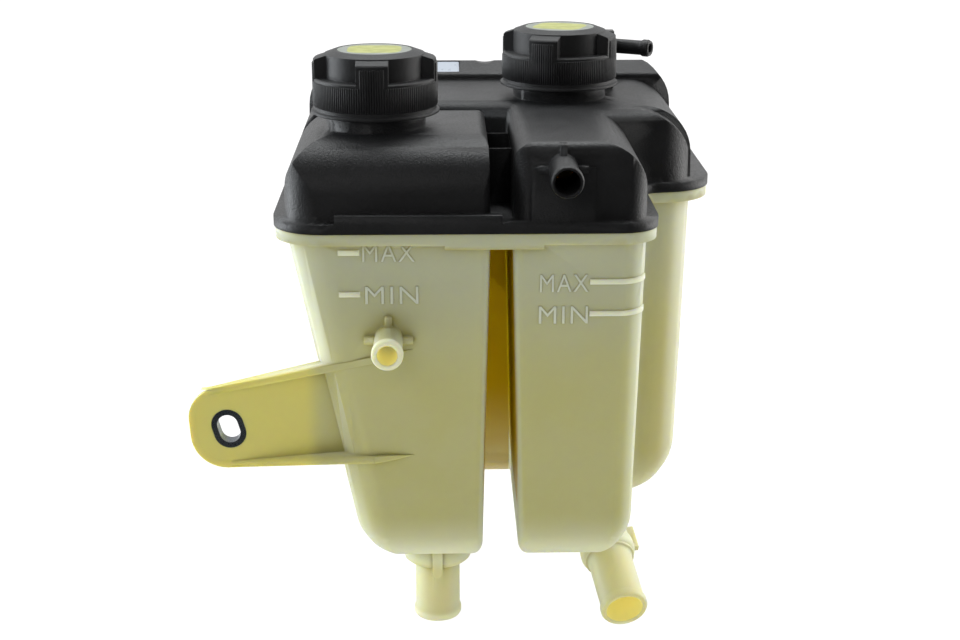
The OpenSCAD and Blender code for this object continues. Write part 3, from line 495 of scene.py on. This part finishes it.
def level_word(word, left, right, middle):
    """Raised word on the front wall, between two places across and about a height, in mm. The text
    is stretched to that box and laid along the wall's draft."""
    curve = bpy.data.curves.new(f"mark_{word}", "FONT")
    curve.body = word
    curve.space_character = LETTER_GAP
    curve.extrude = LETTER_THICK
    text = bpy.data.objects.new("mark_text", curve)
    bpy.context.collection.objects.link(text)
    bpy.context.view_layer.update()
    mesh = bpy.data.meshes.new_from_object(text)
    bpy.data.objects.remove(text)
    points = mesh_points(mesh)
    low, high = points.min(0), points.max(0)
    across, up, out = ((points - low) / (high - low)).T
    x = left + across * (right - left)
    z = (up - 0.5) * LETTER_H / MM + middle
    y = -LEG_DRAFT * z - (2 * out - 1) * LETTER_RAISE / MM
    mesh.vertices.foreach_set("co", from_tank(x, y, z).ravel())
    shape = bmesh.new()
    shape.from_mesh(mesh)
    bmesh.ops.remove_doubles(shape, verts=shape.verts, dist=DOUBLE)
    bmesh.ops.recalc_face_normals(shape, faces=shape.faces)
    shape.to_mesh(mesh)
    shape.free()
    side = "left" if left < 0 else "right"
    add_piece(f"{side}_mark_{word.lower()}", mesh, lit_mark_plastic, "tank")


level_word("MAX", -70.6, -44.0, -11.0)
level_word("MIN", -69.6, -42.4, -33.4)
level_word("MAX", 19.4, 44.3, -27.6)
level_word("MIN", 19.0, 44.3, -44.6)

# Slotted bush: a steel tube pressed to a slot, zinc plated and passivated to a dull blue grey.


def metal(name, surface, dark, pale, rough, spread):
    """Metal, a little uneven in tone and polish. The surface is its grain, grain size and edge."""
    material, tree, shader = new_material(name)
    cloud, speck = use_surface(tree, shader, *surface)
    tree.links.new(blend(tree, cloud, dark, pale), shader.inputs["Base Color"])
    tree.links.new(span(tree, speck, 0, 1, rough, rough + spread), shader.inputs["Roughness"])
    shader.inputs["Metallic"].default_value = 1.0
    return material


def finish_node(name, finish):
    """Gives a CAD node its material."""
    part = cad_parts[name]
    part.data.materials.clear()
    part.data.materials.append(finish)


BUSH_SURFACE = (0.12, 2600.0, 0.35 * MM)
plated_steel = metal("plated_steel", BUSH_SURFACE, (0.10, 0.12, 0.14), (0.20, 0.22, 0.24), 0.26, 0.16)
finish_node("bracket_bush", plated_steel)

# Upper shell: one moulding of black polypropylene, welded to the lower one. Its sides have a fine
# spark-eroded grain, and its tops hold pale wipes that are partly dusty bloom and partly painted sheen.
BLACK = (0.0065, 0.0065, 0.007)
BLACK_HAZE = (0.010, 0.010, 0.0108)
DUST_SHEEN_GREY = (0.11, 0.115, 0.118)


def black_plastic(name, grain, size, gloss, dust_and_sheen, edge):
    """Black moulded plastic: near-black, with clouded gloss and a pale film on upward faces that is partly a
    dusty bloom and partly painted sheen.
    """
    material, tree, shader = new_material(name)
    cloud, speck = use_surface(tree, shader, grain, size, edge)
    facing = node(tree, "ShaderNodeNewGeometry")
    split = node(tree, "ShaderNodeSeparateXYZ")
    tree.links.new(facing.outputs["Normal"], split.inputs[0])
    place = node(tree, "ShaderNodeTexCoord")
    wipe = node(tree, "ShaderNodeTexNoise", Scale=22.0, Detail=5.0, Roughness=0.62, Distortion=1.4)
    tree.links.new(place.outputs["Object"], wipe.inputs["Vector"])
    upward = span(tree, split.outputs["Z"], 0.35, 0.98)
    # Pale film on upward faces: partly dusty bloom, partly painted sheen of the light from above.
    film = both(tree, upward, span(tree, wipe.outputs["Fac"], 0.30, 0.72, 0.45, 1.0), dust_and_sheen)
    body = blend(tree, film, blend(tree, cloud, BLACK, BLACK_HAZE), DUST_SHEEN_GREY)
    tree.links.new(body, shader.inputs["Base Color"])
    rough = math_node(tree, "ADD", span(tree, speck, 0, 1, gloss, gloss + 0.09), both(tree, cloud, 0.05))
    tree.links.new(rough, shader.inputs["Roughness"])
    return material


shell_black = black_plastic("black_shell_plastic", 1.0, 900.0, 0.33, 0.16, 1.6 * MM)
moulding("upper_shell", joined_copy("upper_shell"), shell_black)

# Rear label: white film stuck into the recess of the rear deck. Its print is left off.


def label_film(name):
    """White film with a faint, fine unevenness in tone and gloss."""
    material, tree, shader = new_material(name)
    place = node(tree, "ShaderNodeTexCoord")
    fibre = node(tree, "ShaderNodeTexNoise", Scale=300.0, Detail=3.0)
    tree.links.new(place.outputs["Object"], fibre.inputs["Vector"])
    white = blend(tree, fibre.outputs["Fac"], (0.46, 0.51, 0.58), (0.52, 0.56, 0.63))
    tree.links.new(white, shader.inputs["Base Color"])
    tree.links.new(span(tree, fibre.outputs["Fac"], 0.2, 0.8, 0.25, 0.4), shader.inputs["Roughness"])
    return material


finish_node("rear_label", label_film("label_film"))

# Valve plugs: dark engineering plastic with a rubber ring, coil springs of drawn stainless wire
# and pressed valve plates.
WIRE_SURFACE = (0.1, 3200.0, 0.1 * MM)


def seal_rubber(name):
    """Black rubber, matt and a little clouded."""
    material, tree, shader = new_material(name)
    cloud, speck = use_surface(tree, shader, 0.2, 3000.0, 0.1 * MM)
    black = blend(tree, cloud, (0.012, 0.012, 0.012), (0.024, 0.024, 0.024))
    tree.links.new(black, shader.inputs["Base Color"])
    tree.links.new(span(tree, speck, 0, 1, 0.5, 0.66), shader.inputs["Roughness"])
    return material


plug_black = black_plastic("plug_plastic", 0.2, 1800.0, 0.38, 0.0, 0.3 * MM)
rubber = seal_rubber("seal_rubber")
spring_steel = metal("spring_steel", WIRE_SURFACE, (0.42, 0.42, 0.43), (0.55, 0.55, 0.56), 0.22, 0.12)
valve_steel = metal("valve_steel", WIRE_SURFACE, (0.50, 0.49, 0.46), (0.62, 0.61, 0.58), 0.3, 0.12)
VALVE_PARTS = (
    ("plug", plug_black, "plug_plastic"),
    ("plug_seal", rubber, "seal_rubber"),
    ("spring_seat", plug_black, "plug_plastic"),
    ("pressure_spring", spring_steel, "spring_steel"),
    ("pressure_valve", valve_steel, "valve_metal"),
    ("vacuum_valve", valve_steel, "valve_metal"),
    ("vacuum_spring", spring_steel, "spring_steel"),
)
for side in ("left", "right"):
    for part, finish, slot in VALVE_PARTS:
        finish_node(f"{side}_{part}", finish)

# Caps: glass-filled black plastic, with a finely knurled band and knurled panels on the lugs. The
# teeth grow from nothing at the band's foot and sink away at the upper edges.
CAP_R = 32.0 * MM
KNURL_COUNT = 160
TOOTH_STEPS = 6
KNURL_RISE = 0.34 * MM
KNURL_SINK = 0.3 * MM
SUNK_SHARE = 0.9
FOOT_FADE = 1 * MM
HEAD_FADE = 0.7 * MM
BAND_LOW = 3.4 * MM
BAND_HIGH = 17.2 * MM
BAND_LEVELS = np.array([
    BAND_LOW, BAND_LOW + FOOT_FADE / 2, BAND_LOW + FOOT_FADE,
    BAND_HIGH - HEAD_FADE, BAND_HIGH - HEAD_FADE / 2, BAND_HIGH,
])
LUGS = 4
PANEL_HALF = radians(11)
PANEL_STEPS = 61
PANEL_HIGH = 26.6 * MM
PANEL_LEVELS = np.array([BAND_HIGH - 2 * MM, BAND_HIGH, PANEL_HIGH - HEAD_FADE, PANEL_HIGH])
KNURL_SHARP = radians(50)
CAP_TURN = {"left": radians(-1), "right": radians(-21)}
# The caps' pale film on upward faces, such as the band's upper rim, is partly dusty bloom and partly a
# painted highlight.
cap_black = black_plastic("cap_plastic", 0.4, 1700.0, 0.42, 0.2, 0.7 * MM)
knurl_black = black_plastic("knurl_plastic", 0.2, 1700.0, 0.4, 0.0, 0.1 * MM)


def tooth(angle):
    """Rounded tooth that repeats KNURL_COUNT times round the cap: the root of |sin|, from 0 in a root
    to 1 at a tip."""
    phase = np.mod(angle * KNURL_COUNT / (2 * pi), 1.0)
    return np.sqrt(np.abs(np.sin(pi * phase)))


def knurl(name, side, centre, angles, heights, looped):
    """Toothed sleeve on a grid of angles and heights. Its outer radius is CAP_R plus the tooth's
    height, faded to a sunk skin at the foot of the band and at the top; the inner one is sunk."""
    turn, rise = angles[:, None], heights[None, :]
    fade = np.clip((rise - BAND_LOW) / FOOT_FADE, 0, 1) * np.clip((heights[-1] - rise) / HEAD_FADE, 0, 1)
    teeth = (KNURL_RISE + KNURL_SINK) * tooth(turn - CAP_TURN[side]) * fade
    outer = CAP_R + teeth - KNURL_SINK * (1 - SUNK_SHARE * fade)
    inner = np.full_like(outer, CAP_R - 2 * KNURL_SINK)
    radius = np.concatenate([outer, inner[:, ::-1]], 1)
    level = np.concatenate([heights, heights[::-1]])
    x, y, z = np.broadcast_arrays(radius * np.cos(turn), radius * np.sin(turn), level)
    mesh = skin(name, np.stack([x, y, z], -1) + np.array(centre), KNURL_SHARP, looped)
    add_piece(name, mesh, knurl_black, f"{side}_cap_body")


for side in ("left", "right"):
    low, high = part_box(f"{side}_cap")
    centre = ((low.x + high.x) / 2, (low.y + high.y) / 2, low.z)
    round_steps = KNURL_COUNT * TOOTH_STEPS
    around = np.arange(round_steps) * 2 * pi / round_steps + CAP_TURN[side]
    knurl(f"{side}_cap_knurl", side, centre, around, BAND_LEVELS, True)
    for lug in range(LUGS):
        middle = CAP_TURN[side] - pi / 2 + lug * 2 * pi / LUGS
        across = middle + np.linspace(-PANEL_HALF, PANEL_HALF, PANEL_STEPS)
        knurl(f"{side}_cap_panel_{lug + 1}", side, centre, across, PANEL_LEVELS, False)
    finish_node(f"{side}_cap", cap_black)

# Cap labels: printed discs let into the caps, a plain yellow field in a silver grey ring. The
# field is a square with sides that bulge: |x / half|^4 + |y / half|^4 < 1.
FIELD_HALF = 14.0 * MM
FIELD_SHORT = 0.95
FIELD_POWER = 4
SILVER_GREY = (0.27, 0.30, 0.27)
FIELD_YELLOW = (0.46, 0.48, 0.09)
PRINT_GRIME = (0.26, 0.28, 0.2)


def cap_print(name, centre, turn):
    """Disc print about a centre, turned with its cap: the yellow field on silver grey, with grime."""
    material, tree, shader = new_material(name)
    place = node(tree, "ShaderNodeTexCoord")
    move = node(tree, "ShaderNodeMapping", vector_type="TEXTURE")
    move.inputs["Location"].default_value = centre
    move.inputs["Rotation"].default_value = (0, 0, turn)
    split = node(tree, "ShaderNodeSeparateXYZ")
    tree.links.new(place.outputs["Object"], move.inputs["Vector"])
    tree.links.new(move.outputs["Vector"], split.inputs[0])
    powers = []
    for axis, half in (("X", FIELD_HALF), ("Y", FIELD_HALF * FIELD_SHORT)):
        share = math_node(tree, "ABSOLUTE", math_node(tree, "DIVIDE", split.outputs[axis], half))
        powers.append(math_node(tree, "POWER", share, FIELD_POWER))
    inside = span(tree, math_node(tree, "ADD", *powers), 0.93, 1.07, 1.0, 0.0)
    grime = node(tree, "ShaderNodeTexNoise", Scale=160.0, Detail=4.0)
    tree.links.new(place.outputs["Object"], grime.inputs["Vector"])
    dirt = span(tree, grime.outputs["Fac"], 0.35, 0.75, 0.0, 0.35)
    body = blend(tree, dirt, blend(tree, inside, SILVER_GREY, FIELD_YELLOW), PRINT_GRIME)
    tree.links.new(body, shader.inputs["Base Color"])
    tree.links.new(span(tree, grime.outputs["Fac"], 0.3, 0.7, 0.28, 0.44), shader.inputs["Roughness"])
    return material


for side in ("left", "right"):
    low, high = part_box(f"{side}_cap_label")
    print_finish = cap_print(f"{side}_cap_print", (low + high) / 2, CAP_TURN[side])
    finish_node(f"{side}_cap_label", print_finish)

# Studio floor: a white table. The camera sees it as plain white, with the tank's shadow in a
# patch under it, and black plastic mirrors it dark in front and light behind.
FLOOR_Z = -146 * MM
FLOOR_HALF = 9.0
FLOOR_GLOW = 1.12
FLOOR_WHITE = (0.92, 0.92, 0.92)
PATCH_AT = (0.12, 0.06, FLOOR_Z)
PATCH_INNER = 0.1
PATCH_OUTER = 0.62
PATCH_SHARE = 0.2


def studio_white(name):
    """White floor. Camera rays get PATCH_SHARE of the lit colour under the tank and glow elsewhere."""
    material, tree, shader = new_material(name)
    shader.inputs["Roughness"].default_value = 1.0
    shader.inputs["Specular IOR Level"].default_value = 0.0
    glow = node(tree, "ShaderNodeEmission", Color=(1, 1, 1, 1), Strength=FLOOR_GLOW)
    paths = node(tree, "ShaderNodeLightPath")
    place = node(tree, "ShaderNodeTexCoord")
    split = node(tree, "ShaderNodeSeparateXYZ")
    reach = node(tree, "ShaderNodeVectorMath", operation="DISTANCE")
    reach.inputs[1].default_value = PATCH_AT
    tree.links.new(place.outputs["Object"], split.inputs[0])
    tree.links.new(place.outputs["Object"], reach.inputs[0])
    mirrored = span(tree, split.outputs["Y"], -0.2, 0.5, 0.10, 0.95)
    white = blend(tree, paths.outputs["Is Glossy Ray"], FLOOR_WHITE, mirrored)
    tree.links.new(white, shader.inputs["Base Color"])
    glowing = span(tree, reach.outputs["Value"], PATCH_INNER, PATCH_OUTER, 1 - PATCH_SHARE, 1.0)
    mixed = node(tree, "ShaderNodeMixShader")
    tree.links.new(both(tree, paths.outputs["Is Camera Ray"], glowing), mixed.inputs[0])
    tree.links.new(shader.outputs[0], mixed.inputs[1])
    tree.links.new(glow.outputs[0], mixed.inputs[2])
    tree.links.new(mixed.outputs[0], tree.nodes["Material Output"].inputs["Surface"])
    return material


floor_mesh = bpy.data.meshes.new("studio_floor")
corners = [(x * FLOOR_HALF, y * FLOOR_HALF, FLOOR_Z) for x, y in ((-1, -1), (1, -1), (1, 1), (-1, 1))]
floor_mesh.from_pydata(corners, [], [(0, 1, 2, 3)])
floor_mesh.materials.append(studio_white("studio_white"))
floor = bpy.data.objects.new("studio_floor", floor_mesh)
bpy.context.collection.objects.link(floor)

# Studio light: a backdrop that is lighter behind the tank, large soft boxes on both sides, one
# above and a weak one in front. Powers are in watts.
world = bpy.data.worlds.new("studio_world")
bpy.context.scene.world = world
world.use_nodes = True
tree = world.node_tree
direction = node(tree, "ShaderNodeTexCoord")
split = node(tree, "ShaderNodeSeparateXYZ")
tree.links.new(direction.outputs["Generated"], split.inputs[0])
paths = node(tree, "ShaderNodeLightPath")
lit = span(tree, split.outputs["Y"], -0.5, 0.6, 0.34, 0.75)
mirrored = span(tree, split.outputs["Y"], -0.25, 0.5, 0.05, 0.8)
level = blend(tree, paths.outputs["Is Glossy Ray"], lit, mirrored)
level = blend(tree, paths.outputs["Is Camera Ray"], level, (1.0, 1.0, 1.0))
tree.links.new(level, tree.nodes["Background"].inputs["Color"])
tree.nodes["Background"].inputs["Strength"].default_value = 1.0

AIM = Vector((0.14, 0.08, 0.06))
SOFT_BOXES = (
    ("box_left", (-1.1, 0.35, 0.4), 0.9, 1.1, 15, (0.91, 0.96, 1.0)),
    ("box_right", (1.25, 0.4, 0.45), 0.9, 1.1, 9, (1.0, 0.99, 0.97)),
    ("box_top", (0.12, 0.42, 1.2), 1.1, 0.6, 8, (0.96, 0.99, 1.0)),
    ("box_front", (-0.35, -1.3, 0.75), 0.7, 0.7, 2.5, (1.0, 1.0, 1.0)),
)
for name, place, width, height, power, tint in SOFT_BOXES:
    lamp = bpy.data.lights.new(name, "AREA")
    lamp.shape = "RECTANGLE"
    lamp.size = width
    lamp.size_y = height
    lamp.energy = power
    lamp.color = tint
    box = bpy.data.objects.new(name, lamp)
    box.location = place
    box.rotation_euler = (AIM - Vector(place)).to_track_quat("-Z", "Y").to_euler()
    bpy.context.collection.objects.link(box)

# Camera: a little above the tank's shoulders, to the left of its middle and turned to it. Its
# place is in mm from the tank's zero.
FOCAL = 63.75
SENSOR = 36
CAMERA_AT = (-31.1, -830, 212.3)
CAMERA_DOWN = 17.33
CAMERA_RIGHT = 1.38
CLIP_END = 20
camera_data = bpy.data.cameras.new("camera")
camera_data.lens = FOCAL
camera_data.sensor_width = SENSOR
camera_data.clip_end = CLIP_END
camera = bpy.data.objects.new("camera", camera_data)
camera.location = Vector(CAMERA_AT) * MM + TANK
camera.rotation_euler = (radians(90 - CAMERA_DOWN), 0, radians(-CAMERA_RIGHT))
bpy.context.collection.objects.link(camera)
bpy.context.scene.camera = camera
bpy.context.scene.view_settings.view_transform = "Standard"
